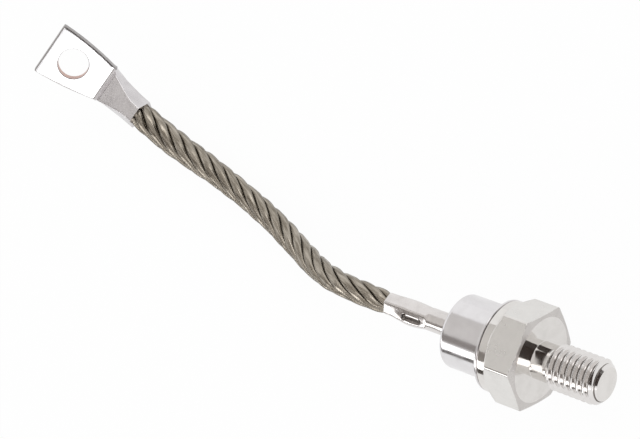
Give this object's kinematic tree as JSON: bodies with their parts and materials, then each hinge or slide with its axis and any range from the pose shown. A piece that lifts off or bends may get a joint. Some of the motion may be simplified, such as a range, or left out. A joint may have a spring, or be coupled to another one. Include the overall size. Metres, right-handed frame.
{
  "type": "stud rectifier diode",
  "caption": "Stud-mounted power rectifier diode with hexagonal base, sealed metal can and a short stranded pigtail ending in a crimped cable lug.",
  "frame": {"origin": "centre of the seat, the ring face of the hexagon that bears on the heat sink, on the axis of the stud", "axes": "+X along the stud to its tip, the way the heat sink and nut come off; +Z square to the uppermost flat of the hexagon; the diode lies on the opposite flat, so the surface under it is at z = -0.012"},
  "size_m": [0.1932, 0.0537, 0.024],
  "materials": {
    "nickel_plate": "bright nickel plating over turned copper, fine turning marks",
    "plated_steel": "nickel plated steel, dull in the groove",
    "solder": "soft solder, dull grey",
    "molybdenum": "ground molybdenum",
    "silicon": "polished silicon, dark grey",
    "silicone": "cured silicone, milky",
    "bare_copper": "bare copper",
    "plated_can": "bright nickel plating over drawn steel",
    "seal_glass": "fused glass, greenish",
    "tinned_tube": "tin plating over copper, pressed by the crimping die",
    "tinned_strand": "tinned copper wires, dulled grey brown",
    "tinned_lug": "tin plating over copper, bare copper in the hole"
  },
  "bodies": {
    "root": {"stud_base": "nickel_plate", "weld_ring": "plated_steel", "base_solder": "solder", "lower_moly_disc": "molybdenum", "lower_die_solder": "solder", "silicon_die": "silicon", "upper_die_solder": "solder", "upper_moly_disc": "molybdenum", "contact_solder": "solder", "junction_coating": "silicone", "contact_cup": "bare_copper", "inner_lead": "bare_copper", "cap_shell": "plated_can", "glass_seal": "seal_glass", "terminal_tube": "tinned_tube", "pigtail_rope": "tinned_strand", "cable_lug": "tinned_lug"}
  },
  "joints": []
}
